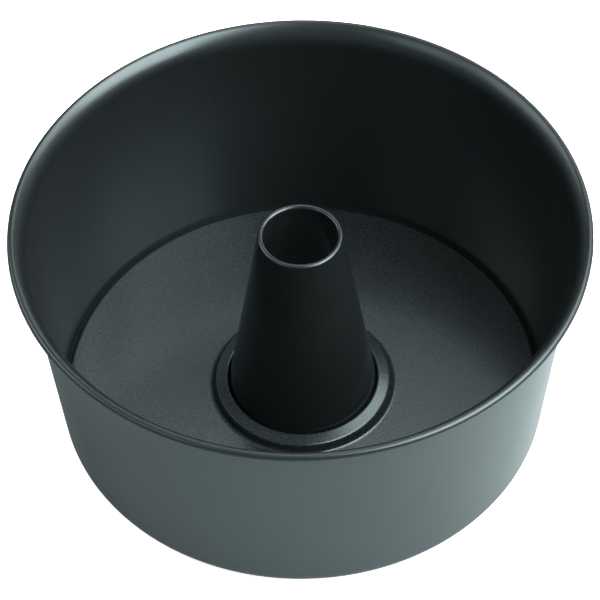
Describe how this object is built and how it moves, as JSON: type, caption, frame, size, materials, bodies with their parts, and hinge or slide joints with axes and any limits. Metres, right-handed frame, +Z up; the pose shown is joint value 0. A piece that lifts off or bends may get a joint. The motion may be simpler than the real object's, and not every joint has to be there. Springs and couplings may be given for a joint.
{
  "type": "angel food cake pan",
  "caption": "Deep round tube pan with a rolled rim and tapering wall; its base disc and tall hollow cone lift out of the shell together to free the cake.",
  "frame": {"origin": "on the table under the centre of the pan", "axes": "+Z up along the centre tube, from the table to the open rim; X and Y are alike, the pan being round"},
  "size_m": [0.238, 0.238, 0.1073],
  "materials": {
    "shell_coating": "satin non-stick coating",
    "disc_coating": "satin non-stick coating with fine speckle",
    "tube_coating": "satin non-stick coating"
  },
  "bodies": {
    "shell": {"pan_shell": "shell_coating"},
    "insert": {"base_disc": "disc_coating", "centre_tube": "tube_coating"}
  },
  "joints": [
    {"name": "insert_lift", "type": "slide", "parent": "shell", "child": "insert", "axis": [0, 0, 1], "range_m": [0, 0.12]}
  ]
}
